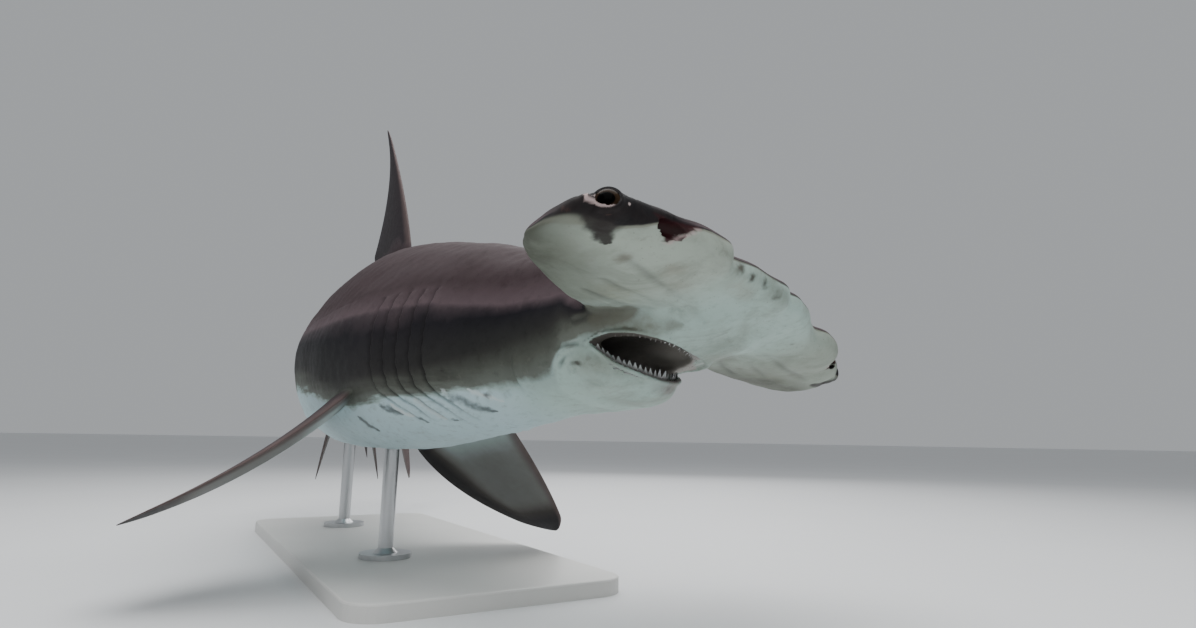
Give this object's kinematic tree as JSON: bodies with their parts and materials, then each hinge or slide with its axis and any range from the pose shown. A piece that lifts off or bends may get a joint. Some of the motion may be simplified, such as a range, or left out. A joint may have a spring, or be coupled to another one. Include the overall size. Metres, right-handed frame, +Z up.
{
  "type": "great hammerhead shark model",
  "caption": "Life-size great hammerhead shark in a swimming turn with its mouth open, held over a flat base by short upright rods.",
  "frame": {"origin": "centre of the stand's underside, on the floor", "axes": "+X towards the shark's head along its trunk, +Y to the shark's left, +Z up"},
  "size_m": [2.988, 1.3386, 1.111],
  "materials": {
    "skin_head": "satin, brown above and pale below, mouth and teeth in the same solid",
    "skin_body": "satin, brown-grey back fading to a pale belly",
    "skin_fin": "satin, brown with darker edges",
    "eye": "wet black gloss",
    "base": "satin pale grey paint",
    "rod": "brushed"
  },
  "bodies": {
    "root": {"head": "skin_head", "jaw_lower": "skin_head", "eye_left": "eye", "eye_right": "eye", "gill_region": "skin_body", "trunk_front": "skin_body", "trunk_rear": "skin_body", "tail_stalk": "skin_body", "caudal_fin_upper": "skin_fin", "caudal_fin_lower": "skin_fin", "dorsal_fin_first": "skin_fin", "dorsal_fin_second": "skin_fin", "anal_fin": "skin_fin", "pectoral_fin_left": "skin_fin", "pectoral_fin_right": "skin_fin", "pelvic_fin_left": "skin_fin", "pelvic_fin_right": "skin_fin", "stand_base": "base", "stand_rod_front": "rod", "stand_rod_rear": "rod"}
  },
  "joints": []
}
